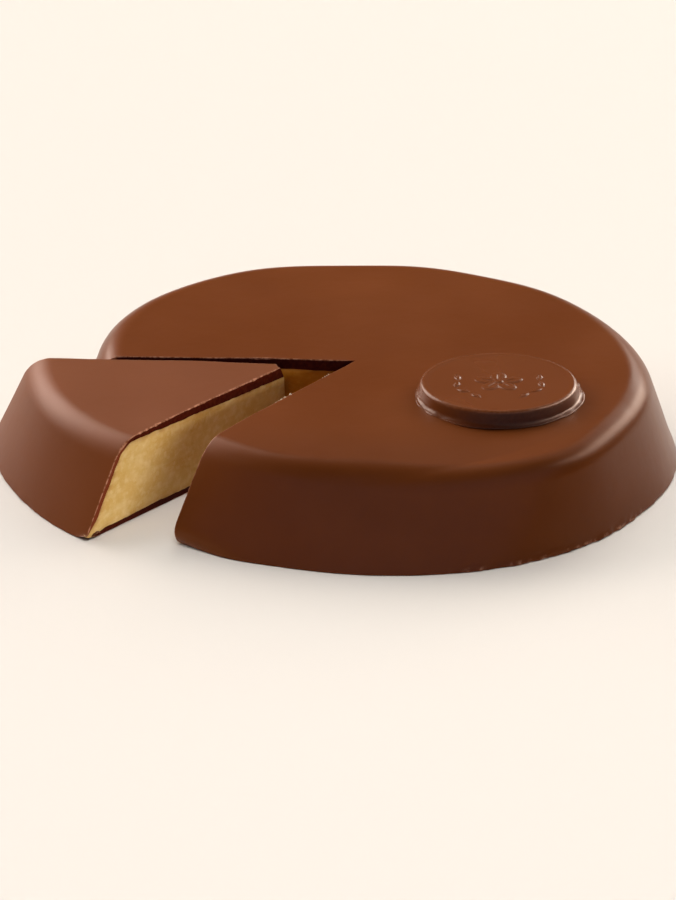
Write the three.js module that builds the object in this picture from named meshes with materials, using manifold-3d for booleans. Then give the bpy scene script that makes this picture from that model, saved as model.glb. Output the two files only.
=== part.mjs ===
// A round marzipan cake in a chocolate coat, with one slice drawn part-way out of its notch
// and a chocolate medallion on top. Millimetres, +Z up, origin on the table under the middle of the cake.
import * as THREE from 'three';
import { mergeVertices } from 'three/addons/utils/BufferGeometryUtils.js';
import Module from 'manifold-3d';

const wasm = await Module();
wasm.setup();

// Outer form of the whole cake
const footRadius = 56;              // mean plan radius where the side line would meet the table
const cakeHeight = 16.9;
const sideLean = 6.3;               // how far the side line comes in over the full height
const footRound = 0.6;              // fillet between the base and the side
const shoulderRound = 5.4;          // fillet between the side and the top
const planWaves = [                 // slow waves that make the plan a little oval
  { turns: 2, cosine: -0.0108, sine: -0.0384 },
  { turns: 3, cosine: 0.0072, sine: 0.0056 },
  { turns: 4, cosine: -0.0041, sine: -0.0052 },
];

// Thickness of the chocolate coat
const coatBase = 1.0;
const coatSide = 1.2;               // across the leaning side, measured level
const coatTopMiddle = 2.4;          // poured thickest over the dished middle
const coatTopRim = 1.0;             // thinnest at the shoulder
const dishReach = 0.5;              // share of the radius, and of the dish's rise there, that bend its curve
const dishRise = 0.35;
const fillingShoulderRound = 3.4;
const fillingFootRound = 0.6;
const layerGap = 0.3;               // clearance between coat, filling and medallion

// The cut: two straight knife walls that meet near the middle, in degrees from +X
const notchApex = new THREE.Vector2(-3.0, 0.15);
const notchBackAngle = 177.8;
const notchFrontAngle = 233.6;
const knifeReach = 90;              // the knife runs past the outside and past both faces
const knifeOverrun = 5;
const onWall = 0.01;                // a corner this near to the knife's front wall lies on it

// Where the knife pressed: towards the notch's front wall the side leans further and its foot tucks in
const pressAngle = 231;             // degrees from +X about the middle, where that wall meets the side
const pressSpread = 22;             // degrees to either side
const pressFoot = 3.5;              // outward shift of the side at the base
const pressTop = -2.5;              // and at the top
const tuckDepth = 3.4;              // how far the foot comes in again, at the base
const tuckHeight = 4.2;
const tuckSpread = 10;
const rimShifts = [                 // slow shifts of the rim along the front, dying out towards the base
  { angle: 268, spread: 20, outward: -4.3 },
  { angle: 310, spread: 13, outward: 2.6 },
];
const footShifts = [                // slow shifts of the foot along the front, dying out towards the top
  { angle: 248, spread: 14, outward: -2.4 },
  { angle: 268, spread: 18, outward: -1.05 },
  { angle: 297, spread: 18, outward: -0.3 },
  { angle: 328, spread: 18, outward: -1.2 },
];
const shiftFrom = 25;               // the top is left alone inside this radius
const shiftFull = 45;

// The slice: a little narrower than its notch, blunt at the tip, and where it has been drawn to
const knifeWaste = 1.0;             // degrees lost to the knife on each side
const tipBlunt = 2.2;               // length of each wall lost at the tip
const footLean = 1.3;               // how far its front wall runs in at the foot
const slicePoint = new THREE.Vector2(-15.2, -1.5);
const sliceTurn = -2.45;            // degrees about +Z

// The freed slice spread a little: outward shift of its side at its back wall, its middle and its front wall
const spreadFrom = 178;             // angles of those walls about the cake's middle
const spreadTo = 230.6;
const spreadFoot = [2.65, 1.7, 0.65];
const spreadTop = [0.8, 0.6, -1.85];

// Medallion on top, with a squeezed bead of chocolate round its foot
const medallionCentre = new THREE.Vector2(22.5, -15.7);
const medallionRadius = 14.1;       // to the outside of the raised rim
const medallionHeight = 2.3;
const medallionFlare = 0.15;        // the side spreads this much towards the foot
const rimWidth = 0.8;
const rimRise = 0.1;
const beadReach = 0.7;              // how far the bead stands out from the foot
const beadHeight = 0.8;

// Fineness of the turned forms
const cakeSegments = 72;
const medallionSegments = 48;
const arcDivisions = 3;             // an arc gets twice as many steps
const sideSteps = 5;

const chocolate = { color: 0x5a2d1a, roughness: 0.38, metalness: 0 };
const darkChocolate = { color: 0x54290f, roughness: 0.32, metalness: 0 };
const marzipan = { color: 0xc2994f, roughness: 0.8, metalness: 0 };

// Profile of a body of the cake, from the axis along the base, up the side and back over the top.
// baseZ and rimZ are the heights of its base and of its top at the shoulder, middleZ the top on the axis,
// inset is how far its side line lies inside the outer side line.
function cakeProfile({ baseZ, rimZ, middleZ, inset, foot, shoulder }) {
  const lean = Math.atan2(sideLean, cakeHeight);
  const sideAt = (z) => footRadius - inset - sideLean * z / cakeHeight;
  const footReach = foot * Math.tan(Math.PI / 4 + lean / 2);
  const shoulderReach = shoulder * Math.tan(Math.PI / 4 - lean / 2);
  const footCentre = sideAt(baseZ) - footReach;
  const shoulderCentre = sideAt(rimZ) - shoulderReach;
  const sideFromZ = baseZ + foot * (1 + Math.sin(lean));
  const sideToZ = rimZ - shoulder * (1 - Math.sin(lean));
  const path = new THREE.Path();
  path.moveTo(0, baseZ);
  path.lineTo(footCentre, baseZ);
  path.absarc(footCentre, baseZ + foot, foot, -Math.PI / 2, lean, false);
  for (let i = 1; i < sideSteps; i += 1) {
    const z = THREE.MathUtils.lerp(sideFromZ, sideToZ, i / sideSteps);
    path.lineTo(sideAt(z), z);
  }
  path.absarc(shoulderCentre, rimZ - shoulder, shoulder, lean, Math.PI / 2, false);
  if (middleZ < rimZ) {
    const bendZ = THREE.MathUtils.lerp(middleZ, rimZ, dishRise);
    path.quadraticCurveTo(shoulderCentre * dishReach, bendZ, 0, middleZ);
  } else {
    path.lineTo(0, middleZ);
  }
  return path.getPoints(arcDivisions);
}

// Plan radius at an angle, as a share of the mean radius
function planFactor(angle) {
  let factor = 1;
  for (const wave of planWaves) {
    factor += wave.cosine * Math.cos(wave.turns * angle) + wave.sine * Math.sin(wave.turns * angle);
  }
  return factor;
}

// Turn a profile about +Z
function turned(profile, segments) {
  const geometry = new THREE.LatheGeometry(profile, segments);
  geometry.rotateX(Math.PI / 2);
  return geometry;
}

// Share of an outward shift that a point takes: none over the middle of the top, all of it at the side
function shiftShare(radius) {
  return THREE.MathUtils.smoothstep(radius, shiftFrom, shiftFull);
}

// Degrees from one direction to another, from -180 to 180
function degreesAway(angle, middle) {
  const turn = angle - THREE.MathUtils.degToRad(middle);
  return THREE.MathUtils.radToDeg(Math.atan2(Math.sin(turn), Math.cos(turn)));
}

// Outward shift of the cake's side near the notch's front wall and along the front
function knifePress(angle, radius, z) {
  const bellAt = (middle, spread) => Math.exp(-((degreesAway(angle, middle) / spread) ** 2));
  const bell = (spread) => bellAt(pressAngle, spread);
  const lean = THREE.MathUtils.lerp(pressFoot, pressTop, z / cakeHeight);
  const tuck = tuckDepth * Math.max(0, 1 - z / tuckHeight) ** 2;
  let shift = lean * bell(pressSpread) - tuck * bell(tuckSpread);
  for (const rim of rimShifts) {
    shift += rim.outward * bellAt(rim.angle, rim.spread) * z / cakeHeight;
  }
  for (const foot of footShifts) {
    shift += foot.outward * bellAt(foot.angle, foot.spread) * (1 - z / cakeHeight);
  }
  return shiftShare(radius) * shift;
}

// Outward shift of the slice's side, along a curve from wall to wall through the three given shifts
function sliceSpread(angle, radius, z) {
  const width = spreadTo - spreadFrom;
  const away = degreesAway(angle, spreadFrom + width / 2);
  const share = THREE.MathUtils.clamp(0.5 + away / width, -0.2, 1.2);
  const through = ([back, middle, front]) => THREE.MathUtils.lerp(back, front, share)
    + 4 * share * (1 - share) * (middle - (back + front) / 2);
  return shiftShare(radius) * THREE.MathUtils.lerp(through(spreadFoot), through(spreadTop), z / cakeHeight);
}

// Stretch a turned form in plan to the cake's outline, with an outward shift of its side
function toPlan(geometry, shift) {
  const position = geometry.attributes.position;
  for (let i = 0; i < position.count; i += 1) {
    const x = position.getX(i);
    const y = position.getY(i);
    const angle = Math.atan2(y, x);
    const radius = Math.hypot(x, y);
    const shaped = radius * planFactor(angle) + shift(angle, radius, position.getZ(i));
    position.setXY(i, shaped * Math.cos(angle), shaped * Math.sin(angle));
  }
  return geometry;
}

// Closed solid for joining and cutting, with triangles that collapse on the axis left out
function toSolid(geometry) {
  const bare = geometry.clone();
  bare.deleteAttribute('normal');
  bare.deleteAttribute('uv');
  const merged = mergeVertices(bare, 1e-4);
  const index = merged.index.array;
  const triangles = [];
  for (let i = 0; i < index.length; i += 3) {
    const [a, b, c] = [index[i], index[i + 1], index[i + 2]];
    if (a !== b && b !== c && c !== a) {
      triangles.push(a, b, c);
    }
  }
  const mesh = new wasm.Mesh({
    numProp: 3,
    vertProperties: new Float32Array(merged.attributes.position.array),
    triVerts: new Uint32Array(triangles),
  });
  return new wasm.Manifold(mesh);
}

function toGeometry(solid) {
  const mesh = solid.getMesh();
  const geometry = new THREE.BufferGeometry();
  geometry.setAttribute('position', new THREE.BufferAttribute(new Float32Array(mesh.vertProperties), 3));
  geometry.setIndex(new THREE.BufferAttribute(new Uint32Array(mesh.triVerts), 1));
  geometry.computeVertexNormals();
  return geometry;
}

function cakeBody(options, shift) {
  return toSolid(toPlan(turned(cakeProfile(options), cakeSegments), shift));
}

// Upright wedge between the two knife walls, narrower by waste on each side and blunt at its point
function knifeWedge(waste, blunt, lean) {
  const back = THREE.MathUtils.degToRad(notchBackAngle + waste);
  const front = THREE.MathUtils.degToRad(notchFrontAngle - waste);
  const along = (angle, length) => new THREE.Vector2(
    notchApex.x + length * Math.cos(angle),
    notchApex.y + length * Math.sin(angle),
  );
  const outline = [along(back, blunt), along(back, knifeReach), along(front, knifeReach)];
  if (blunt > 0) {
    outline.push(along(front, blunt));
  }
  const shape = new THREE.Shape(outline);
  const depth = cakeHeight + 2 * knifeOverrun;
  const geometry = new THREE.ExtrudeGeometry(shape, { depth, bevelEnabled: false });
  geometry.translate(0, 0, -knifeOverrun);
  const position = geometry.attributes.position;
  for (let i = 0; i < position.count; i += 1) {
    const x = position.getX(i);
    const y = position.getY(i);
    const offWall = (x - notchApex.x) * Math.sin(front) - (y - notchApex.y) * Math.cos(front);
    if (Math.abs(offWall) < onWall) {
      const inward = lean * (1 - position.getZ(i) / cakeHeight);
      position.setX(i, x + inward * Math.sin(front));
      position.setY(i, y - inward * Math.cos(front));
    }
  }
  return toSolid(geometry);
}

// Medallion profile: half-round bead at the foot, spreading side, raised rim and flat face
function medallionProfile() {
  const foot = medallionRadius + medallionFlare;
  const beadRound = beadHeight / 2;
  const beadCentre = foot + beadReach - beadRound;
  const rimRound = rimWidth / 2;
  const rimCentre = medallionRadius - rimRound;
  const faceZ = medallionHeight - rimRise;
  const path = new THREE.Path();
  path.moveTo(0, 0);
  path.lineTo(beadCentre, 0);
  path.absarc(beadCentre, beadRound, beadRound, -Math.PI / 2, Math.PI / 2, false);
  path.lineTo(foot, beadHeight);
  path.absarc(rimCentre, medallionHeight - rimRound, rimRound, 0, Math.PI / 2, false);
  path.lineTo(medallionRadius - rimWidth, faceZ);
  path.lineTo(0, faceZ);
  return path.getPoints(arcDivisions);
}

function namedMesh(name, geometry, finish) {
  const mesh = new THREE.Mesh(geometry, new THREE.MeshStandardMaterial(finish));
  mesh.name = name;
  return mesh;
}

const outerForm = {
  baseZ: 0,
  rimZ: cakeHeight,
  middleZ: cakeHeight,
  inset: 0,
  foot: footRound,
  shoulder: shoulderRound,
};
// The hollow in the coat, and the filling that sits in it with a thin clearance all round
const hollowForm = {
  baseZ: coatBase,
  rimZ: cakeHeight - coatTopRim,
  middleZ: cakeHeight - coatTopMiddle,
  inset: coatSide,
  foot: fillingFootRound,
  shoulder: fillingShoulderRound,
};
const fillingForm = {
  baseZ: coatBase + layerGap,
  rimZ: cakeHeight - coatTopRim - layerGap,
  middleZ: cakeHeight - coatTopMiddle - layerGap,
  inset: coatSide + layerGap,
  foot: fillingFootRound,
  shoulder: fillingShoulderRound,
};

// Coat and filling of a whole cake with a given shift of its side
function wholeCake(shift) {
  return {
    coat: cakeBody(outerForm, shift).subtract(cakeBody(hollowForm, shift)),
    filling: cakeBody(fillingForm, shift),
  };
}

const standing = wholeCake(knifePress);
const freed = wholeCake(sliceSpread);
const notch = knifeWedge(0, 0, 0);
const sliceCut = knifeWedge(knifeWaste, tipBlunt, footLean);

const cake = new THREE.Group();
cake.add(namedMesh('cake_coat', toGeometry(standing.coat.subtract(notch)), chocolate));
cake.add(namedMesh('cake_marzipan', toGeometry(standing.filling.subtract(notch)), marzipan));

// The slice is what the knife cut out, drawn outwards with a slight turn about its point
const slice = new THREE.Group();
const sliceCoat = toGeometry(freed.coat.intersect(sliceCut));
const sliceFilling = toGeometry(freed.filling.intersect(sliceCut));
for (const geometry of [sliceCoat, sliceFilling]) {
  geometry.translate(-notchApex.x, -notchApex.y, 0);
}
slice.add(namedMesh('slice_coat', sliceCoat, chocolate));
slice.add(namedMesh('slice_marzipan', sliceFilling, marzipan));
slice.position.set(slicePoint.x, slicePoint.y, 0);
slice.rotation.z = THREE.MathUtils.degToRad(sliceTurn);
cake.add(slice);

const medallionSolid = toSolid(turned(medallionProfile(), medallionSegments));
const medallion = namedMesh('medallion', toGeometry(medallionSolid), darkChocolate);
medallion.position.set(medallionCentre.x, medallionCentre.y, cakeHeight + layerGap);
cake.add(medallion);

export default cake;
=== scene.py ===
import math

import bmesh
import bpy
import numpy as np
from mathutils import Matrix


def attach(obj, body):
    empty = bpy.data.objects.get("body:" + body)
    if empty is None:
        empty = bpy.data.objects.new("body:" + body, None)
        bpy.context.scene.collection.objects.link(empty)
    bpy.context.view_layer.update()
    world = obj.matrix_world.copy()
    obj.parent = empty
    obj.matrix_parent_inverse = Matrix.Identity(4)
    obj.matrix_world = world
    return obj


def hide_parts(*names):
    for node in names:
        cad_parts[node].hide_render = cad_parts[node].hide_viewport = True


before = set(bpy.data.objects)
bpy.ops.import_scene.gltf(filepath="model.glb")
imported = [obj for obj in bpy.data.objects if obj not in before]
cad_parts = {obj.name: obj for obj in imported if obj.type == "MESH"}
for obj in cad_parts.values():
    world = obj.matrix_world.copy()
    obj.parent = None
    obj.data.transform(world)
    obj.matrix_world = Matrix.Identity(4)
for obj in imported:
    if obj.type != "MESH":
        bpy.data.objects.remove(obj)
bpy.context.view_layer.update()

# A low round marzipan cake in a chocolate coat, one slice drawn part-way out, a chocolate medallion on top.
# Shapes are worked out in millimetres and put into the meshes in metres.
toMetres = 0.001


# the cake's form, the same for every layer of it
cakeForm = {
    "footRadius": 56.0,             # mean plan radius where the side line would meet the table
    "height": 16.9,
    "sideLean": 6.3,                # how far the side comes in over the full height
    "planWaves": ((2, -0.0108, -0.0384), (3, 0.0072, 0.0056), (4, -0.0041, -0.0052)),
    "notchPoint": (-3.0, 0.15),
    "notchFront": 233.6,            # knife walls, in degrees from +X
    "notchBack": 177.8,
    "knifeWaste": 1.0,              # degrees that the knife took off each wall of the slice
    "pressAngle": 231.0,            # where the front wall meets the side, seen from the middle
    "pressSpread": 22.0,            # degrees round there over which the knife pressed the side
    "pressFoot": 3.5,               # outward shift of the pressed side at the base and at the top
    "pressTop": -2.5,
    "tuckDepth": 3.4,               # how far the pressed foot comes in again
    "tuckHeight": 4.2,
    "tuckSpread": 10.0,
    "rimShifts": ((268.0, 20.0, -4.3), (310.0, 13.0, 2.6)),     # angle, spread, outward shift of the rim
    "footShifts": (                 # and of the foot
        (248.0, 14.0, -2.4), (268.0, 18.0, -1.05), (297.0, 18.0, -0.3), (328.0, 18.0, -1.2)),
    "spreadFrom": 178.0,            # the freed slice's walls, seen from the middle
    "spreadTo": 230.6,
    "spreadFoot": (2.65, 1.7, 0.65),    # outward shift at its back wall, middle and front wall, at the base
    "spreadTop": (0.8, 0.6, -1.85),     # and at the top
    "spreadBeyond": 0.2,            # how far past its walls that goes on, as a share of its width
    "shiftFrom": 25.0,              # the top is left alone inside this radius
    "shiftFull": 45.0,
}

# layers of the cake: the coat's outside, the coat's inside, and the marzipan with a hairline all round
coatOutside = {
    "baseZ": 0.0,
    "rimZ": cakeForm["height"],
    "middleZ": cakeForm["height"],
    "inset": 0.0,                   # how far it lies inside the side line
    "foot": 0.25,                   # rounding of the foot and of the shoulder
    "shoulder": 5.4,
}
coatInside = {"baseZ": 1.0, "rimZ": 15.9, "middleZ": 14.55, "inset": 1.2, "foot": 0.6, "shoulder": 3.6}
hairline = 0.03
marzipanSkin = {
    "baseZ": coatInside["baseZ"] + hairline,
    "rimZ": coatInside["rimZ"] - hairline,
    "middleZ": coatInside["middleZ"] - hairline,
    "inset": coatInside["inset"] + hairline,
    "foot": coatInside["foot"],
    "shoulder": coatInside["shoulder"],
}
dishPower = 1.15                    # how the coat's top thins from the middle to the shoulder
flatTilt = 1.5                      # a row whose normal tilts past this, in radians, lies flat
reachSteps = 14                     # steps in which a ray finds the outline

# the border between coat and marzipan
borderLook = {
    "ragged": 0.11,                 # how far it wanders, and the sizes of the broad and the fine wander
    "sizes": (1.9, 0.8),
    "fineShare": 0.7,
    "fromTip": (4.0, 4.0),          # distance from the tip where that starts, and over which it grows
    "baseSwell": 0.2,               # how much thicker the coat's base is away from the foot and the tip
    "swellFoot": (49.0, -14.0),
    "swellTip": (4.0, 8.0),
}


def ease(x):
    # 0 below 0, 1 above 1, and 3x^2 - 2x^3 between
    x = np.clip(x, 0.0, 1.0)
    return x * x * (3 - 2 * x)


def rising(value, start, over):
    # eased from 0 at the start to 1 that much further on, or further down where it is negative
    return ease((value - start) / over)


def lumps(x, y, z, seed):
    # value noise: a random height on each corner of a unit lattice, eased between the eight corners, -1 to 1
    x, y, z = np.broadcast_arrays(np.asarray(x, float), np.asarray(y, float), np.asarray(z, float))
    ix, iy, iz = (np.floor(v).astype(np.int64) for v in (x, y, z))
    ex, ey, ez = ease(x - ix), ease(y - iy), ease(z - iz)

    def corner(dx, dy, dz):     # bits of the corner's place, mixed into a height
        n = (ix + dx) * 374761393 + (iy + dy) * 668265263 + (iz + dz) * 1274126177 + seed * 97463477
        n = n & 0xffffffff
        n = ((n ^ (n >> 13)) * 1103515245) & 0xffffffff
        return ((n ^ (n >> 16)) & 0xffff) / 32767.5 - 1

    def along(a, b, t):     # straight from one to the other
        return a + (b - a) * t

    low = along(along(corner(0, 0, 0), corner(1, 0, 0), ex), along(corner(0, 1, 0), corner(1, 1, 0), ex), ey)
    high = along(along(corner(0, 0, 1), corner(1, 0, 1), ex), along(corner(0, 1, 1), corner(1, 1, 1), ex), ey)
    return along(low, high, ez)


def planShare(turn):
    # 1 plus slow cosine and sine waves of the angle: the plan is a little oval
    share = np.ones_like(turn)
    for count, cosine, sine in cakeForm["planWaves"]:
        share = share + cosine * np.cos(count * turn) + sine * np.sin(count * turn)
    return share


def awayFrom(turn, middle):
    # degrees from a direction, -180 to 180
    away = turn - math.radians(middle)
    return np.degrees(np.arctan2(np.sin(away), np.cos(away)))


def shiftShare(radius):
    # 0 in the middle of the top, eased to 1 towards the rim
    return rising(radius, cakeForm["shiftFrom"], cakeForm["shiftFull"] - cakeForm["shiftFrom"])


def knifePress(turn, radius, z):
    # near the front wall: a straight lean, out at the base and in at the top, minus a squared tuck of the
    # foot. along the front: bell-shaped shifts of the rim that die out towards the base, and of the foot
    # that die out towards the top
    form = cakeForm
    away = awayFrom(turn, form["pressAngle"])
    lean = form["pressFoot"] + (form["pressTop"] - form["pressFoot"]) * z / form["height"]
    lean = lean * np.exp(-(away / form["pressSpread"]) ** 2)
    tuck = form["tuckDepth"] * np.clip(1 - z / form["tuckHeight"], 0, 1) ** 2
    tuck = tuck * np.exp(-(away / form["tuckSpread"]) ** 2)

    def bells(shifts):
        return sum(shift * np.exp(-(awayFrom(turn, angle) / spread) ** 2) for angle, spread, shift in shifts)

    rim, foot, up = bells(form["rimShifts"]), bells(form["footShifts"]), z / form["height"]
    return shiftShare(radius) * (lean - tuck + rim * up + foot * (1 - up))


def sliceSpread(turn, radius, z):
    # parabolas through the shifts at the back wall, middle and front wall, and straight from base to top
    form = cakeForm
    width = form["spreadTo"] - form["spreadFrom"]
    beyond = form["spreadBeyond"]
    share = 0.5 + awayFrom(turn, form["spreadFrom"] + width / 2) / width
    share = np.clip(share, -beyond, 1 + beyond)

    def through(back, middle, front):
        return back + (front - back) * share + 4 * share * (1 - share) * (middle - (back + front) / 2)

    foot, top = through(*form["spreadFoot"]), through(*form["spreadTop"])
    return shiftShare(radius) * (foot + (top - foot) * z / form["height"])


def sideCurve(layer, rows):
    # foot arc, straight leaning line and shoulder arc, tangent to one another, from the base up to the top
    lean = math.atan2(cakeForm["sideLean"], cakeForm["height"])

    def lineAt(z):
        return cakeForm["footRadius"] - layer["inset"] - cakeForm["sideLean"] * z / cakeForm["height"]

    foot, shoulder = layer["foot"], layer["shoulder"]
    footCentre = lineAt(layer["baseZ"]) - foot * math.tan(math.pi / 4 + lean / 2)
    shoulderCentre = lineAt(layer["rimZ"]) - shoulder * math.tan(math.pi / 4 - lean / 2)
    footAngle = np.linspace(-math.pi / 2, lean, rows["foot"] + 1)
    shoulderAngle = np.linspace(lean, math.pi / 2, rows["shoulder"] + 1)
    footR, footZ = footCentre + foot * np.cos(footAngle), layer["baseZ"] + foot * (1 + np.sin(footAngle))
    topR = shoulderCentre + shoulder * np.cos(shoulderAngle)
    topZ = layer["rimZ"] - shoulder * (1 - np.sin(shoulderAngle))
    share = np.linspace(0, 1, rows["line"] + 1)[1:-1]
    lineR, lineZ = footR[-1] + (topR[0] - footR[-1]) * share, footZ[-1] + (topZ[0] - footZ[-1]) * share
    facing = np.concatenate([footAngle, np.full(len(share), lean), shoulderAngle])
    return np.concatenate([footR, lineR, topR]), np.concatenate([footZ, lineZ, topZ]), facing


def rayReach(turn, radius, z, shift):
    # distance from the notch point along a ray to the plan outline: step by the radial miss until it closes
    px, py = cakeForm["notchPoint"]
    reach = np.zeros_like(turn) + radius
    for step in range(reachSteps):
        x, y = px + reach * np.cos(turn), py + reach * np.sin(turn)
        angle = np.arctan2(y, x)
        reach = reach + radius * planShare(angle) + shift(angle, radius, z) - np.hypot(x, y)
    return reach


def tipStart(turn, z, cut):
    # a slice starts at a blunt nose that stands out furthest at mid height and falls back by a fourth power.
    # the cake starts at the notch point
    if cut["nose"] is None:
        return np.zeros(np.broadcast(turn, z).shape)
    nose = cut["nose"]
    swell = 1 - ((z - nose["swellZ"]) / nose["swellSpan"]) ** 4
    setBack = nose["blunt"] - nose["swell"] * np.clip(swell, 0, 1)
    middle = math.radians((cut["from"] + cut["to"]) / 2)
    return setBack / np.cos(turn - middle) ** nose["flatness"]


def layerSheet(layer, turns, rows, cut):
    # a layer as rows by rays: out along the base, up the side curve and back over the dished top.
    # each row lies a share of the way from the tip to the outline along its ray
    sideR, sideZ, facing = sideCurve(layer, rows)
    low, side = len(rows["base"]), len(sideR)
    turnBase, turnSide, turnTop = turns[:low], turns[low:low + side], turns[low + side:]
    footReach = rayReach(turnBase, sideR[0], sideZ[0], cut["shift"])
    topReach = rayReach(turnTop, sideR[-1], sideZ[-1], cut["shift"])
    startBase = tipStart(turnBase, layer["baseZ"], cut)
    startTop = tipStart(turnTop, layer["middleZ"], cut)
    reachBase = startBase + rows["base"][:, None] * (footReach - startBase)
    reachSide = rayReach(turnSide, sideR[:, None], sideZ[:, None], cut["shift"])
    reachTop = startTop + rows["top"][:, None] * (topReach - startTop)
    dish = (layer["rimZ"] - layer["middleZ"]) * (reachTop / topReach) ** dishPower
    z = np.concatenate([
        np.full_like(reachBase, layer["baseZ"]),
        np.broadcast_to(sideZ[:, None], reachSide.shape),
        layer["middleZ"] + dish,
    ])
    reach = np.concatenate([reachBase, reachSide, reachTop])
    tilt = np.concatenate([np.full(low, -math.pi / 2), facing, np.full(len(rows["top"]), math.pi / 2)])
    return reach, z, tilt


def liftCorner(reach, turns, z, cut, gap):
    # a broken foot corner: heights below a slanted line near the front wall are raised to it, with a soft
    # bend where the two meet
    broken = cut["broken"]
    if broken is None:
        return z
    share = ease(1 - reach * np.abs(turns - math.radians(cut["to"])) / broken["deep"])
    short = broken["slope"] * (reach - broken["from"]) + gap - z
    return z + share * 0.5 * (short + np.sqrt(short ** 2 + broken["bend"] ** 2))


# the whole top falls a little towards its front
frontSag = {
    "angle": -88.0,                 # middle and spread of the fall, in degrees
    "spread": 32.0,
    "from": 30.0,                   # radius where it starts, and length over which it comes to its drop
    "over": 13.0,
    "most": 1.25,                   # how far on it still deepens, as a share of that length
    "drop": 1.0,
    "up": (5.0, 9.0),               # height where it takes hold, and over which it grows
}


def polar(points):
    # angle in degrees and distance from the cake's middle
    x, y = points[..., 0], points[..., 1]
    return np.degrees(np.arctan2(y, x)), np.hypot(x, y)


def onRays(reach, turn, z):
    # points at a distance from the notch point along their rays, and at a height
    px, py = cakeForm["notchPoint"]
    return np.stack([px + reach * np.cos(turn), py + reach * np.sin(turn), z], axis=-1)


def frontFall(reach, turns, z):
    # height lost at the front: a squared rise with the distance from the middle, times a bell round the
    # front, times an eased share of the height
    angle, out = polar(onRays(reach, turns, z))
    bell = np.exp(-((angle - frontSag["angle"]) / frontSag["spread"]) ** 2)
    fall = np.clip((out - frontSag["from"]) / frontSag["over"], 0, frontSag["most"]) ** 2
    return frontSag["drop"] * bell * fall * rising(z, *frontSag["up"])


def innerSheet(layer, turns, rows, cut):
    # a layer inside the coat with a ragged border: two sizes of noise along its normal, and a thicker base.
    # at a bare corner it swells to the outside by eased distances: the coat to a skin, the marzipan past it
    look = borderLook
    reach, z, tilt = layerSheet(layer, turns, rows, cut)
    broad, fine = look["sizes"]
    ragged = lumps(reach / broad, z / broad, 0, cut["seed"] + 60)
    ragged = ragged + look["fineShare"] * lumps(reach / fine, z / fine, 0, cut["seed"] + 61)
    ragged = look["ragged"] * ragged * rising(reach, *look["fromTip"])
    reach, z = reach + ragged * np.cos(tilt)[:, None], z + ragged * np.sin(tilt)[:, None]
    thicker = look["baseSwell"] * rising(reach, *look["swellFoot"]) * rising(reach, *look["swellTip"])
    z = z + thicker * (tilt < -flatTilt)[:, None]
    z = z - frontFall(reach, turns, z)
    bare = cut["bare"]
    if bare is None:
        return reach, z, tilt
    skin = bare["skin"] if layer is coatInside else -bare["proud"]
    thin = {**coatOutside, "baseZ": skin, "inset": skin, "foot": coatOutside["foot"] - skin}
    thinReach, thinZ, tilt = layerSheet(thin, turns, rows, cut)
    wall = math.radians(cut["to"])
    widest = sideCurve(coatOutside, rows)[0].max()
    corner = rayReach(np.array([wall]), widest, bare["cornerZ"], cut["shift"])[0]
    share = rising(np.hypot(reach - corner, z), bare["far"], bare["near"] - bare["far"])
    share = share * ease(1 - reach * np.abs(turns - wall) / bare["deep"])
    reach, z = reach + share * (thinReach - reach), z + share * (thinZ - z)
    return reach, np.maximum(liftCorner(reach, turns, z, cut, skin), bare["clear"]), tilt


# where the slice has been drawn to, and how far its front wall runs in at the foot
sliceMove = {"point": (-15.2, -1.5), "turn": -2.45, "footLean": 1.3}


def drawnOut(points):
    # a shift square to the front wall that grows from the back wall to the front one and from the top to
    # the foot, then a turn about the notch point, then a move of the notch point to the slice's point
    angle = math.radians(sliceMove["turn"])
    px, py = cakeForm["notchPoint"]
    x, y, z = points[..., 0] - px, points[..., 1] - py, points[..., 2]
    back, front = math.radians(sliceCut["from"]), math.radians(sliceCut["to"])
    share = np.clip((np.mod(np.arctan2(y, x), 2 * math.pi) - back) / (front - back), 0, 1)
    inward = sliceMove["footLean"] * share * (1 - z / cakeForm["height"])
    x, y = x + inward * math.sin(front), y - inward * math.cos(front)
    movedX = sliceMove["point"][0] + x * math.cos(angle) - y * math.sin(angle)
    movedY = sliceMove["point"][1] + x * math.sin(angle) + y * math.cos(angle)
    return np.stack([movedX, movedY, z], axis=-1)


def stillInPlace(points):
    # the cake stays where it was
    return points


# the two pieces that the knife leaves: walls in degrees, how the side is pressed, and how they are moved
cakeCut = {
    "from": cakeForm["notchFront"],
    "to": 360 + cakeForm["notchBack"],
    "nose": None,
    "bare": None,
    "broken": None,
    "seed": 11,
    "shift": knifePress,
    "place": stillInPlace,
}
sliceCut = {
    "from": cakeForm["notchBack"] + cakeForm["knifeWaste"],
    "to": cakeForm["notchFront"] - cakeForm["knifeWaste"],
    "nose": {"blunt": 1.96, "swell": 1.4, "swellZ": 9.0, "swellSpan": 8.0, "flatness": 0.4},
    "bare": {                       # where the coat broke off
        "near": 2.8,                # bare within this distance of the foot corner, coated beyond the next
        "far": 4.7,
        "deep": 3.0,
        "skin": 0.05,               # coat that is left there, and how far the marzipan stands out past it
        "proud": 0.07,
        "cornerZ": 1.0,
        "clear": 0.02,              # least height above the table
    },
    "broken": {"from": 50.9, "slope": 0.36, "bend": 0.25, "deep": 3.2},
    "seed": 29,
    "shift": sliceSpread,
    "place": drawnOut,
}

mergeWithin = 1e-6                  # metres within which borders are one, and under which an edge is dropped
dropUnder = 1e-7


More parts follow.
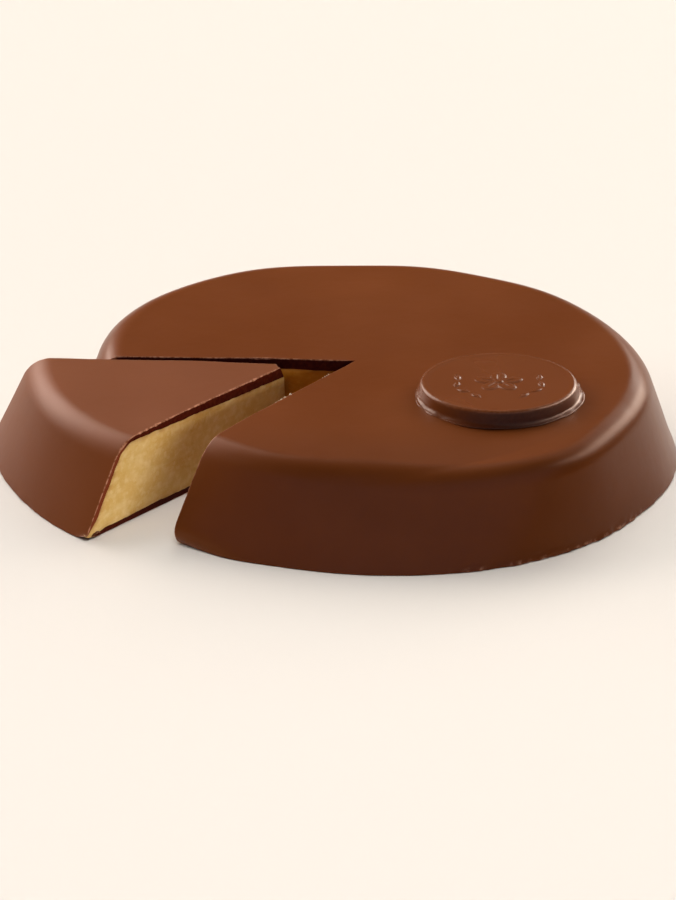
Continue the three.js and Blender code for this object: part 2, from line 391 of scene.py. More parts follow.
def gridPatch(points, cut=0.0, near=0.0, along=None, finish=0):
    # one grid of points with its shares of cut face and of coat nearby, which on some pieces carry painted
    # shade and painted highlights, a flat map in millimetres, and which of the piece's materials it has
    rows, columns = points.shape[:2]
    if along is None:
        along = np.zeros((rows, columns, 2))
    return {
        "points": points,
        "cut": np.broadcast_to(cut, (rows, columns)),
        "near": np.broadcast_to(near, (rows, columns)),
        "along": along,
        "finish": finish,
    }


def joinPatches(name, patches, sharpAngle):
    # grids side by side: each cell is a quad of four neighbours, and borders that coincide are merged
    points = np.concatenate([p["points"].reshape(-1, 3) for p in patches]) * toMetres
    quads, finishes, offset = [], [], 0
    for patch in patches:
        rows, columns = patch["points"].shape[:2]
        index = offset + np.arange(rows * columns).reshape(rows, columns)
        cells = np.stack([index[:-1, :-1], index[:-1, 1:], index[1:, 1:], index[1:, :-1]], axis=-1)
        quads.append(cells.reshape(-1, 4))
        finishes.append(np.full((rows - 1) * (columns - 1), patch["finish"], np.int32))
        offset += rows * columns
    quads = np.concatenate(quads)
    mesh = bpy.data.meshes.new(name)
    mesh.vertices.add(len(points))
    mesh.vertices.foreach_set("co", points.astype(np.float32).ravel())
    mesh.loops.add(quads.size)
    mesh.loops.foreach_set("vertex_index", quads.astype(np.int32).ravel())
    mesh.polygons.add(len(quads))
    mesh.polygons.foreach_set("loop_start", np.arange(0, quads.size, 4, dtype=np.int32))
    mesh.polygons.foreach_set("material_index", np.concatenate(finishes))
    mesh.update(calc_edges=True)
    for key in ("cut", "near"):
        values = np.concatenate([p[key].ravel() for p in patches])[quads.ravel()]
        shares = mesh.attributes.new(key + "Share", "FLOAT", "CORNER")
        shares.data.foreach_set("value", values.astype(np.float32))
    flat = np.concatenate([p["along"].reshape(-1, 2) for p in patches])[quads.ravel()] * toMetres
    mesh.uv_layers.new(name="cutMap").data.foreach_set("uv", flat.astype(np.float32).ravel())
    shell = bmesh.new()
    shell.from_mesh(mesh)
    bmesh.ops.remove_doubles(shell, verts=shell.verts, dist=mergeWithin)
    bmesh.ops.dissolve_degenerate(shell, edges=shell.edges, dist=dropUnder)
    bmesh.ops.recalc_face_normals(shell, faces=shell.faces)
    shell.to_mesh(mesh)
    shell.free()
    mesh.polygons.foreach_set("use_smooth", np.ones(len(mesh.polygons), bool))
    mesh.set_sharp_from_angle(angle=math.radians(sharpAngle))
    piece = bpy.data.objects.new(name, mesh)
    bpy.context.scene.collection.objects.link(piece)
    print(name, len(mesh.vertices), "points", len(mesh.polygons), "faces")
    return piece


# the chocolate coat. pairs named Up, Out or From tell where an easing starts, and how far on it ends
coatLook = {
    "baseRows": 80,
    "basePower": 1.6,               # how the base's rows crowd towards the foot
    "topRows": 130,
    "tipRows": (0.5, 0.25, 0.1, 0.0),   # the last rows at the tip, as shares of the one before them
    "sideRows": {"foot": 10, "line": 24, "shoulder": 16},
    "columnStep": 1.5,              # degrees between rays
    "leastColumns": 40,
    "innerColumns": 48,
    "creaseAngle": 40,
    "edgeRound": 0.18,              # rounding of a cut edge, and size and share of its wander
    "edgeWander": (2.6, 0.45),
    "edgeMost": (0.42, 0.05),       # its limits, as shares of the thickness and of the distance from the tip
    "edgeSteps": 5,
    "edgeFlats": (0.15, 0.4, 0.8, 1.4, 2.3),    # how far in the next columns lie, and their largest turns
    "flatTurns": (0.012, 0.8),
    "edgeHighlightEnd": 0.3,               # painted highlight, weaker, at the last column of the rounding
    "chip": 0.24,                   # deepest chip in a cut edge
    "chipSize": 0.8,
    "chipAbove": 0.35,              # noise above this is a chip
    "chipPatches": (5.5, 1.5, 0.3),     # size, contrast and bias of the stretches with chips
    "capSteps": 4,
    "capRough": 0.07,               # roughness of the cut coat, its sizes, and where it starts from the tip
    "capSizes": (0.55, 2.2),
    "capFrom": (2.5, 2.0),
    "capSide": (0.2, 0.5),          # how upright the cut coat is where it counts as the side's
    "noseRound": 0.35,
    "waveHeight": 0.16,             # slow unevenness of the poured coat
    "waveLength": 21.0,
    "waveRise": (14.0, 8.0),        # length up the side of the broad and the finer waves
    "waveFiner": (2.1, 0.5),        # how much finer they are, and their share
    "waveUp": (0.8, 3.0),
    "sags": ((95.0, 13.0, -0.45), (47.0, 13.0, 0.3)),   # angle, spread and height of slow sags of the rim
    "sagOut": (30.0, 14.0),
    "sagUp": (9.0, 6.0),
    "footZone": (282.0, 332.0),     # where the foot is nicked and the rays lie closer
    "footZoneFade": 8.0,
    "footZoneStep": 0.6,
    "footZoneBlend": 6.0,           # degrees over which the rays come closer
    "nick": 0.3,
    "nickSizes": ((1.5, 0.5, 1.0, 7), (0.7, 0.4, 0.7, 8)),  # length, height, share and seed of their noise
    "nickElsewhere": 0.3,           # share of the nicks outside that zone
    "nickUp": (1.5, -1.2),
    "speckSize": (0.75, 0.4),       # pale specks in the nicks, which also paint light over the foot's shaded lower edge
    "speckPeak": (0.02, 0.4),
    "speckUp": (0.85, -0.35),
    "speckFacing": 0.02,            # none where the coat faces almost straight down or up
}


def coatRows():
    # shares of the way out from the tip: closer together at the tip, at the foot and over the shoulder
    look = coatLook
    base = 1 - (1 - np.linspace(0, 1, look["baseRows"] + 1)[:-1]) ** look["basePower"]
    top = np.linspace(1, 0, look["topRows"] + 1)[1:-1]
    top = np.concatenate([top, top[-1] * np.array(look["tipRows"])])
    return {**look["sideRows"], "base": base, "top": top}


def chipped(length, seed):
    # rounding along a cut edge: a base value that wanders, plus sparse chips where fine noise peaks
    look = coatLook
    size, share = look["edgeWander"]
    wander = look["edgeRound"] * (1 + share * lumps(length / size, 0, 0, seed))
    peak = lumps(length / look["chipSize"], 0, 0, seed + 1) - look["chipAbove"]
    peak = np.clip(peak, 0, None) / (1 - look["chipAbove"])
    size, contrast, bias = look["chipPatches"]
    patchy = ease(lumps(length / size, 0, 0, seed + 2) * contrast + bias)
    return wander + look["chip"] * peak * patchy


def rayShares(cut):
    # shares of the turn between the walls: the step between rays eases to a finer one in the nicked zone, and
    # the running sum of its inverse tells how far along each ray lies
    look, samples = coatLook, 2000
    angle = np.linspace(cut["from"], cut["to"], samples)
    low, high = look["footZone"]
    blend = look["footZoneBlend"]
    zone = ease((angle - low) / blend + 0.5) * ease((high - angle) / blend + 0.5)
    density = 1 / (look["columnStep"] + (look["footZoneStep"] - look["columnStep"]) * zone)
    count = np.cumsum(density)
    count = (count - count[0]) / (count[-1] - count[0])
    columns = max(look["leastColumns"], int(np.sum(density) * (cut["to"] - cut["from"]) / samples))
    return np.interp(np.linspace(0, 1, columns), count, np.linspace(0, 1, samples))


def inFootZone(angle):
    # 1 where the foot is nicked, eased to 0 inside both ends of that zone
    low, high = coatLook["footZone"]
    angle, fade = np.mod(angle, 360), coatLook["footZoneFade"]
    return rising(angle, low, fade) * rising(angle, high, -fade)


def unevenCoat(reach, turn, z, tilt):
    # the poured coat: slow lumps along the surface normal, slow sags of the rim, the fall of the top's front,
    # and fine nicks at the foot
    look = coatLook
    points = onRays(reach, turn, z)
    angle, out = polar(points)
    x, y = points[..., 0] / look["waveLength"], points[..., 1] / look["waveLength"]
    (broadZ, fineZ), (finer, share) = look["waveRise"], look["waveFiner"]
    swell = lumps(x, y, z / broadZ, 5) + share * lumps(finer * x, finer * y, z / fineZ, 6)
    swell = look["waveHeight"] * swell * rising(z, *look["waveUp"])
    for middle, spread, height in look["sags"]:
        bell = np.exp(-((angle - middle) / spread) ** 2)
        swell = swell + height * bell * rising(out, *look["sagOut"]) * rising(z, *look["sagUp"])
    z = z - frontFall(reach, turn, z)
    reach = reach + swell * np.cos(tilt)[:, None]
    z = z + swell * np.sin(tilt)[:, None]
    arc = np.radians(angle) * cakeForm["footRadius"]
    nick = sum(share * lumps(arc / along, 0, z / up, seed) for along, up, share, seed in look["nickSizes"])
    few = look["nickElsewhere"]
    atFoot = rising(z, *look["nickUp"]) * np.clip(np.cos(tilt), 0, 1)[:, None]
    reach = reach + look["nick"] * (few + (1 - few) * inFootZone(angle)) * nick * atFoot
    return reach, z


def outerSheet(turns, rows, cut):
    # the coat's outside: the plain layer, made uneven, with the broken corner lifted
    reach, z, tilt = layerSheet(coatOutside, turns, rows, cut)
    reach, z = unevenCoat(reach, turns, z, tilt)
    return reach, liftCorner(reach, turns, z, cut, 0.0), tilt


def footSpecksAndPaintedLight(points, tilt):
    # pale specks where the foot is nicked, low down where they also paint light over the foot's shaded lower
    # edge: noise peaks by the length along the foot and the height
    look = coatLook
    angle, z = np.mod(polar(points)[0], 360), points[..., 2]
    along, up = look["speckSize"]
    peak = lumps(np.radians(angle) * cakeForm["footRadius"] / along, 0, z / up, 9)
    facing = (np.cos(tilt) > look["speckFacing"])[:, None]
    return rising(peak, *look["speckPeak"]) * inFootZone(angle) * rising(z, *look["speckUp"]) * facing


def placed(patches, cut):
    # the patches moved to where their piece lies
    for patch in patches:
        patch["points"] = cut["place"](patch["points"])
    return patches


def coatPatches(cut):
    # outside sheet with rounded cut edges, inside sheet, a cap between them on each wall, and nose ends if
    # any. a rounded edge is a quarter arc: its run is a turn away from the wall, its rise sinks into the coat
    look, rows = coatLook, coatRows()
    walls = np.radians([cut["from"], cut["to"]])
    rowCount = len(rows["base"]) + len(rows["top"]) + sum(look["sideRows"].values()) + 1
    wallTurns = np.broadcast_to(walls, (rowCount, 2))
    outReach, outZ, tilt = outerSheet(wallTurns, rows, cut)
    inReach, inZ, tilt = innerSheet(coatInside, wallTurns, rows, cut)
    outEdge, inEdge = onRays(outReach, wallTurns, outZ), onRays(inReach, wallTurns, inZ)
    depth = inEdge - outEdge
    thick = np.linalg.norm(depth, axis=-1)
    length = np.cumsum(np.linalg.norm(np.diff(outEdge, axis=0, prepend=outEdge[:1]), axis=-1), axis=0)
    rounding = np.stack([chipped(length[:, w], cut["seed"] + 5 * w) for w in (0, 1)], axis=-1)
    ofThick, ofReach = look["edgeMost"]
    rounding = np.minimum(rounding, np.minimum(ofThick * thick, ofReach * outReach))
    bend = np.linspace(math.pi / 2, 0, look["edgeSteps"])
    flats = np.array(look["edgeFlats"])
    firstTurn, power = look["flatTurns"]
    mostTurn = firstTurn * np.cumsum(np.arange(1, len(flats) + 1)) ** power

    def edgeTurns(w):   # lengths along the arc and the columns beside it, over the distance from the tip
        reach = np.maximum(outReach[:, w:w + 1], 1e-3)
        curve = rounding[:, w:w + 1] * (1 - np.sin(bend)) / reach
        beyond = rounding[:, w:w + 1] / reach + np.minimum(flats / reach, mostTurn)
        return np.concatenate([curve, beyond], axis=1)

    first, last = walls[0] + edgeTurns(0), walls[1] - edgeTurns(1)[:, ::-1]
    between = rayShares(cut)[None, 1:-1]
    middle = first[:, -1:] + between * (last[:, :1] - first[:, -1:])
    turns = np.concatenate([first, middle, last], axis=1)
    reach, z, tilt = outerSheet(turns, rows, cut)
    if cut["nose"]:
        fromNose = reach - tipStart(turns, coatOutside["middleZ"], cut)
        inward = np.clip(1 - fromNose / look["noseRound"], 0, 1)
        drop = look["noseRound"] * (1 - np.sqrt(1 - inward ** 2))
        z = z - drop * (tilt[:, None] > flatTilt)
    sheet = onRays(reach, turns, z)
    # sink the rounded columns towards the inside of the coat
    sink = 1 - np.cos(bend)
    inwardDir = depth / np.maximum(thick, 1e-6)[..., None]
    steps = look["edgeSteps"]
    sheet[:, :steps] += (rounding[:, 0:1] * sink)[..., None] * inwardDir[:, None, 0]
    sheet[:, -steps:] += (rounding[:, 1:2] * sink[::-1])[..., None] * inwardDir[:, None, 1]
    # painted highlight: the rounding columns of each cut edge get the pale colour, for the thin line of light
    # that the edge catches; the foot's specks join it
    specksAndHighlight = np.zeros(sheet.shape[:2])
    specksAndHighlight[:, :steps - 1] = specksAndHighlight[:, 1 - steps:] = 1.0
    specksAndHighlight[:, steps - 1] = specksAndHighlight[:, -steps] = look["edgeHighlightEnd"]
    specksAndHighlight = np.maximum(specksAndHighlight, footSpecksAndPaintedLight(sheet, tilt))
    columns = sheet.shape[1] if cut["nose"] else look["innerColumns"]
    innerTurns = walls[0] + (walls[1] - walls[0]) * np.linspace(0, 1, columns)
    innerTurns = np.broadcast_to(innerTurns, (rowCount, columns))
    innerReach, innerZ, tilt = innerSheet(coatInside, innerTurns, rows, cut)
    inner = onRays(innerReach, innerTurns, innerZ)
    across = np.linspace(0, 1, look["capSteps"] + 1)[None, :, None]
    patches = [gridPatch(sheet, 0.0, specksAndHighlight), gridPatch(inner, 1.0)]
    normals = np.stack([[np.sin(walls[0]), -np.cos(walls[0]), 0], [-np.sin(walls[1]), np.cos(walls[1]), 0]])
    roughAlong, roughAcross = look["capSizes"]
    for w, (outer, inside) in enumerate(((sheet[:, 0], inner[:, 0]), (sheet[:, -1], inner[:, -1]))):
        cap = outer[:, None] + across * (inside - outer)[:, None]
        rough = lumps(length[:, w, None] / roughAlong, across[..., 0] * roughAcross, 0, cut["seed"] + 20 + w)
        rough = rough * np.sin(math.pi * across[..., 0]) * rising(outReach[:, w, None], *look["capFrom"])
        cap = cap + look["capRough"] * rough[..., None] * normals[w]
        onSide = rising(np.cos(tilt), *look["capSide"])[:, None]
        patches.append(gridPatch(cap, 1.0, onSide, finish=1))
    if cut["nose"]:
        for row in (0, -1):
            end = sheet[row][None] + across.reshape(-1, 1, 1) * (inner[row] - sheet[row])
            patches.append(gridPatch(end, 1.0, finish=1))
    return placed(patches, cut)


# the marzipan
marzipanLook = {
    "wallSteps": 220,
    "sideRows": {"foot": 8, "line": 36, "shoulder": 20},
    "skinStep": 7.5,                # degrees between rays of the hidden skin
    "noseColumns": 10,
    "creaseAngle": 60,
    "grain": 0.03,                  # height of the almond grain
    "grainSize": 0.42,
    "grainFiner": 0.5,              # size and share of the finer grain on it
    "lump": 0.11,                   # height of the broader lumps, their share, and how far they are dragged
    "lumpSize": 2.6,
    "lumpShare": 0.7,
    "lumpDrag": 1.6,
    "pitSizes": (1.1, 0.8),
    "pitAbove": 0.55,               # noise above this is a pit
    "pitDeep": 0.9,
    "proud": 0.04,
    "borderFade": 0.5,              # distance from the coat, and from the nose, over which the relief grows
    "noseFade": 1.0,
    "smearWidth": 0.4,              # how far in chocolate is dragged from the border
}


def grainy(along, z, near, seed):
    # cut marzipan: dragged broad lumps plus fine grain with pits, fading out at the border with the coat
    look = marzipanLook
    size, finer = look["grainSize"], look["grainFiner"]
    broad = lumps(along / (look["lumpDrag"] * look["lumpSize"]), z / look["lumpSize"], 0, seed)
    grain = lumps(along / size, z / size, 0, seed + 1)
    grain = grain + finer * lumps(along / (finer * size), z / (finer * size), 0, seed + 2)
    pitAlong, pitUp = look["pitSizes"]
    pits = np.clip(lumps(along / pitAlong, z / pitUp, 0, seed + 3) - look["pitAbove"], 0, 1)
    relief = look["lump"] * (look["lumpShare"] * broad - look["pitDeep"] * pits) + look["grain"] * grain
    return (relief + look["proud"]) * near


def marzipanPatches(cut):
    # cut faces as four-sided patches: each point is the sum of the two blends between opposite borders
    # minus the blend of the corners. behind them a plain skin of rays, out along the base, up and back
    look = marzipanLook
    steps = look["wallSteps"]
    share = np.linspace(0, 1, steps + 1)
    rows = {**look["sideRows"], "base": share[:-1], "top": share[:-1][::-1]}
    walls = np.radians([cut["from"], cut["to"]])
    skinColumns = look["noseColumns"] if cut["nose"] else int((cut["to"] - cut["from"]) / look["skinStep"])
    sideCount = sum(look["sideRows"].values()) + 1
    turns = walls[0] + (walls[1] - walls[0]) * np.linspace(0, 1, skinColumns + 1)
    turns = np.broadcast_to(turns, (2 * steps + sideCount, skinColumns + 1))
    reach, z, tilt = innerSheet(marzipanSkin, turns, rows, cut)
    patches = [gridPatch(onRays(reach, turns, z))]
    up = np.linspace(0, 1, sideCount)
    q, w = share[:, None, None], up[None, :, None]
    for column, turn, facing in ((0, walls[0], -1), (-1, walls[1], 1)):
        edge = np.stack([reach[:, column], z[:, column]], axis=-1)
        bottom, side = edge[:steps + 1], edge[steps:steps + sideCount]
        top = edge[steps + sideCount - 1:][::-1]
        noseZ = bottom[0, 1] + (top[0, 1] - bottom[0, 1]) * up
        nose = np.stack([tipStart(np.full(sideCount, turn), noseZ, cut), noseZ], axis=-1)
        nose[0], nose[-1] = bottom[0], top[0]
        blend = (1 - w) * bottom[:, None] + w * top[:, None] + (1 - q) * nose[None] + q * side[None]
        corners = (1 - q) * ((1 - w) * bottom[0] + w * top[0]) + q * ((1 - w) * side[0] + w * side[-1])
        along, height = np.moveaxis(blend - corners, -1, 0)
        border = np.minimum(height - bottom[:, 1][:, None], top[:, 1][:, None] - height)
        border = np.minimum(border, side[None, :, 0] - along)
        inside = ease(border / look["borderFade"]) * ease((along - nose[None, :, 0]) / look["noseFade"])
        relief = grainy(along, height, inside, cut["seed"] + 40 + facing)
        normal = facing * np.array([-np.sin(turn), np.cos(turn), 0])
        points = onRays(along, np.full_like(along, turn), height) + relief[..., None] * normal
        near = np.exp(-np.clip(border, 0, None) / look["smearWidth"])
        patches.append(gridPatch(points, 1.0, near, np.stack([along * facing, height], axis=-1)))
    if cut["nose"]:
        noseTurn = turns[0][None, :]
        noseZ = z[0][None] + (z[-1] - z[0])[None] * up[:, None]
        ends = onRays(tipStart(noseTurn, noseZ, cut), np.broadcast_to(noseTurn, noseZ.shape), noseZ)
        ends[0], ends[-1] = onRays(reach[0], turns[0], z[0]), onRays(reach[-1], turns[-1], z[-1])
        patches.append(gridPatch(ends, 1.0, 0.0, np.stack([noseZ * 0, noseZ], axis=-1)))
    return placed(patches, cut)


# the medallion
medallionLook = {
    "centre": (22.5, -15.7),
    "seat": 16.85,                  # just under the coat's top, so that no gap shows
    "radius": 14.1,
    "height": 2.6,
    "flare": 0.15,
    "rimRound": 0.75,
    # painted highlight: a share of the pale colour in a line along the rim, for light caught by its rounded
    # edge
    "rimHighlight": 0.12,
    "faceSink": 0.07,               # the face lies a little lower than its rim
    "faceSinkWidth": 0.9,
    "waveHeight": 0.03,             # slow unevenness of the face
    "waveLength": 5.0,
    "waveUp": (1.0, 1.0),
    "frontRise": 0.22,              # the disc was set down a little higher in front
    "frontRiseUp": (0.6, 1.6),
    "collarReach": 0.95,            # chocolate squeezed out round the foot: width, height at the side, lip
    "collarHeight": 0.95,
    "collarLip": 0.24,
    "ringSize": 2.2,                # size of the ring that the collar's noise is read from
    "reachNoise": ((1, 1.0, 71), (3, 0.6, 72), (8, 0.12, 74)),  # fineness, share and seed
    "reachWander": 0.5,
    "reachLimits": (0.45, 1.8),
    "heightNoise": (1.7, 0.35, 73),
    "lipNoise": (4, 0.4, 76),
    "lipRound": (0.8, 0.45),        # the lip's rounding, at most these shares of its height and of the width
    "paintedShadeMiddle": 280.0,            # painted shade: the side and the collar are painted darkest round this angle, at the front
    "paintedShadeSpread": 48.0,
    "paintedShadeMost": 0.8,
    "paintedShadeFrom": (-0.16, 0.14),      # against the radius
    "columns": 300,
    "rows": {"seat": 5, "lip": 5, "fillet": 8, "side": 9, "rim": 8, "face": 96},
    "creaseAngle": 50,
}

# the relief in the medallion's middle
blossomLook = {
    "petals": 5,
    "petalOut": 2.5,                # distance of a petal's middle, its half length and half width
    "petalHalf": (2.0, 1.45),
    "petalHeight": 0.22,
    "groove": (0.5, 0.16),          # depth share and half width of a petal's groove, and where it ends
    "grooveEnd": (0.55, -0.5),
    "button": 0.95,                 # radius, and height against a petal's
    "buttonRise": 1.25,
    "leaves": 4,                    # in each spray
    "leafOut": 7.6,
    "leafFrom": 34.0,               # degrees from the front to the first leaf, and from leaf to leaf
    "leafStep": 24.0,
    "leafLies": (108.0, 66.0),      # degrees that leaves are turned by, in turns
    "leafHalf": (1.75, 0.72),
    "leafHeight": 0.16,
    "leafPoint": (1.6, 0.4),        # power and pinch of a leaf's ends
    "leafEdge": 1.8,
    "vein": (0.6, 0.13),
}


def blossom(x, y):
    # five petals, each the root of 1 minus an ellipse, round a button, and two sprays of leaves, each 1 minus
    # a power of its length and a pinched width. grooves and veins are bells across the middle
    look = blossomLook
    relief = np.zeros_like(x)

    def lying(half, out, turn, lie):    # distances along and across a shape that lies out from the middle
        dx, dy = x - out * math.cos(turn), y - out * math.sin(turn)
        along, across = dx * math.cos(lie) + dy * math.sin(lie), dy * math.cos(lie) - dx * math.sin(lie)
        return along / half[0], across / half[1]

    def dent(v, depth, half):   # a bell across the shape
        return depth * np.exp(-(v / half) ** 2)

    for k in range(look["petals"]):
        turn = math.radians(90 + 360 / look["petals"] * k)
        u, v = lying(look["petalHalf"], look["petalOut"], turn, turn)
        dome = np.clip(1 - u ** 2 - v ** 2, 0, 1) ** 0.5
        groove = 1 - dent(v, *look["groove"]) * rising(u, *look["grooveEnd"])
        relief = np.maximum(relief, look["petalHeight"] * dome * groove)
    button = np.clip(1 - (np.hypot(x, y) / look["button"]) ** 2, 0, 1) ** 0.5
    relief = np.maximum(relief, look["buttonRise"] * look["petalHeight"] * button)
    power, pinch = look["leafPoint"]
    for side in (-1, 1):
        for k in range(look["leaves"]):
            turn = math.radians(-90 + side * (look["leafFrom"] + look["leafStep"] * k))
            lie = turn + side * math.radians(look["leafLies"][k % 2])
            u, v = lying(look["leafHalf"], look["leafOut"], turn, lie)
            body = np.clip(1 - np.abs(u) ** power - np.abs(v) * (1 + pinch * u ** 2), 0, 1)
            leaf = ease(body * look["leafEdge"]) * (1 - dent(v, *look["vein"]))
            relief = np.maximum(relief, look["leafHeight"] * leaf)
    return relief


def medallionPatches():
    # a profile turned about the medallion's axis: seat, lip and hollow fillet of the squeezed collar, side,
    # rounded rim and relief face. the collar's width, height and lip wander with the angle
    look, rows = medallionLook, medallionLook["rows"]
    theta = np.linspace(0, 2 * math.pi, look["columns"] + 1)[None, :]
    ringX, ringY = np.cos(theta) * look["ringSize"], np.sin(theta) * look["ringSize"]

    def wandering(fineness, share, seed):   # noise along the ring
        return share * lumps(fineness * ringX, fineness * ringY, 0, seed)

    def quarter(steps):     # angles of a quarter turn
        return np.linspace(0, math.pi / 2, steps + 1)[:, None]

    wander = sum(wandering(*noise) for noise in look["reachNoise"])
    reach = look["collarReach"] * np.clip(1 + look["reachWander"] * wander, *look["reachLimits"])
    tall = look["collarHeight"] * (1 + wandering(*look["heightNoise"]))
    lip = look["collarLip"] * (1 + wandering(*look["lipNoise"]))
    foot, rimRound = look["radius"] + look["flare"], look["rimRound"]
    ofLip, ofReach = look["lipRound"]
    lipRound = np.minimum(ofLip * lip, ofReach * reach)
    topZ = look["height"] - rimRound
    seat = np.linspace(0, 1, rows["seat"] + 1)[:-1, None]
    up = np.linspace(0, 1, rows["side"] + 1)[1:-1, None]
    bend, hollow, rim = quarter(rows["lip"]), quarter(rows["fillet"])[1:], quarter(rows["rim"])
    face = (look["radius"] - rimRound) * np.linspace(1, 0, rows["face"] + 1)[1:, None]
    profile = (     # radius and height of each stretch
        (seat * (foot + reach), 0),
        (foot + reach - lipRound + lipRound * np.cos(bend), lip - lipRound + lipRound * np.sin(bend)),
        (foot + (reach - lipRound) * (1 - np.sin(hollow)), lip + (tall - lip) * (1 - np.cos(hollow))),
        (foot + (look["radius"] - foot) * up, tall + (topZ - tall) * up),
        (look["radius"] - rimRound + rimRound * np.cos(rim), topZ + rimRound * np.sin(rim)),
        (face, look["height"] - look["faceSink"] * rising(face, face[0, 0], -look["faceSinkWidth"])),
    )
    radius = np.concatenate([r + 0 * theta for r, h in profile])
    z = np.concatenate([h + 0 * (r + theta) for r, h in profile])
    x, y = radius * np.cos(theta), radius * np.sin(theta)
    row = np.arange(len(z))[:, None]
    onFace = row >= len(z) - rows["face"]
    onRim = (~onFace) & (row >= len(z) - rows["face"] - rows["rim"])
    # painted shade: a darker cut finish on the front of the side and the collar, where the lights from behind
    # leave shade
    front = (np.degrees(theta) - look["paintedShadeMiddle"]) / look["paintedShadeSpread"]
    dark = look["paintedShadeMost"] * np.exp(-front ** 2) * rising(radius - look["radius"], *look["paintedShadeFrom"])
    z = z + np.where(onFace, blossom(x, y), 0)
    wave = lumps(x / look["waveLength"], y / look["waveLength"], 0, 75)
    z = z + look["waveHeight"] * wave * rising(z, *look["waveUp"])
    z = z - look["frontRise"] * y / look["radius"] * rising(z, *look["frontRiseUp"])
    points = np.stack([x + look["centre"][0], y + look["centre"][1], z + look["seat"]], axis=-1)
    # the cut share carries that painted shade, and the near share carries a painted highlight along the rim
    return [gridPatch(points, dark, np.where(onRim, look["rimHighlight"], 0.0) * (1 - dark))]


# a curled flake of coat on the table by the slice's broken corner
flakeLook = {
    "middle": (-48.9, -39.5),
    "lie": 228.0,                   # degrees from +X along its length
    "length": 2.9,
    "taper": (2.6, 0.6),            # powers of its narrowing towards both ends
    "curl": 0.62,                   # radius of the curl, and waves along it and share by which it varies
    "curlVary": (4, 0.18),
    "open": (20.0, 235.0),          # degrees that it spans round its axis, and waves and degrees of change
    "openVary": (5, 14.0),
    "thick": 0.26,
    "clear": 0.01,                  # height above the table
    "cut": 0.35,                    # share of the cut finish, and of the pale colour that paints a highlight on its top
    "specksAndHighlightShare": 0.35,
    "highlightUp": 0.9,
    "columns": 40,
    "steps": 14,
    "creaseAngle": 50,
}


def flakePatches():
    # a strip rolled round an axis: an outer arc and back along an inner arc, tapering to both ends
    look = flakeLook
    share = np.linspace(0, 1, look["columns"] + 1)[:, None]
    inner, outer = look["taper"]
    taper = (1 - np.abs(2 * share - 1) ** inner) ** outer
    waves, most = look["openVary"]
    span = np.linspace(*look["open"], look["steps"])[None, :]
    arc = np.radians(span + most * lumps(share * waves, 0, 0, 81))
    waves, most = look["curlVary"]
    outside = look["curl"] * (1 + most * lumps(share * waves, 2, 0, 82))
    inside = look["curl"] - look["thick"]
    loop = np.concatenate([arc, arc[:, ::-1], arc[:, :1]], axis=1)
    radius = np.concatenate([outside + 0 * arc, inside + 0 * arc, outside], axis=1)
    across, up = radius * np.cos(loop), radius * np.sin(loop)
    across, up = across * taper, (up - up.min(axis=1, keepdims=True)) * taper + look["clear"]
    lie = math.radians(look["lie"])
    along = (share - 0.5) * look["length"] + 0 * across
    x = look["middle"][0] + along * math.cos(lie) - across * math.sin(lie)
    y = look["middle"][1] + along * math.sin(lie) + across * math.cos(lie)
    # painted highlight: the pale colour grows with the height, so the curl's top is lighter
    return [gridPatch(np.stack([x, y, up], axis=-1), look["cut"], look["specksAndHighlightShare"] * ease(up / look["highlightUp"]))]


# little beads along the notch's front edge, near its point, coloured near white to paint the glints there
beadLook = {
    "reaches": (8.3, 8.8, 9.4, 10.1, 19.7, 21.3, 22.4, 23.1, 24.0),     # from the notch point along the wall
    "radii": (0.09, 0.12, 0.13, 0.1, 0.27, 0.23, 0.18, 0.15, 0.12),
    "sunk": 0.02,
    "fromWall": 0.1,
    "rings": 12,
    "sectors": 18,
    "creaseAngle": 60,
    # painted highlight: the near-white colour stands in for the glints
    "colour": (0.93, 0.80, 0.58, 1),
    "rough": 0.12,
}


def beadPatches():
    # little balls, each a grid of latitudes by longitudes, about half sunk in the rounded edge
    look = beadLook
    wall, top = math.radians(cakeCut["from"]), np.float64(coatOutside["rimZ"] - look["sunk"])
    down = np.linspace(0, math.pi, look["rings"] + 1)[:, None]
    around = np.linspace(0, 2 * math.pi, look["sectors"] + 1)[None, :]
    ring = np.sin(down)
    ball = np.stack([ring * np.cos(around), ring * np.sin(around), np.cos(down) + 0 * around], axis=-1)
    patches = []
    for reach, radius in zip(look["reaches"], look["radii"]):
        middle = onRays(np.float64(reach), wall + look["fromWall"] / reach, top)
        patches.append(gridPatch(middle + radius * ball))
    return patches


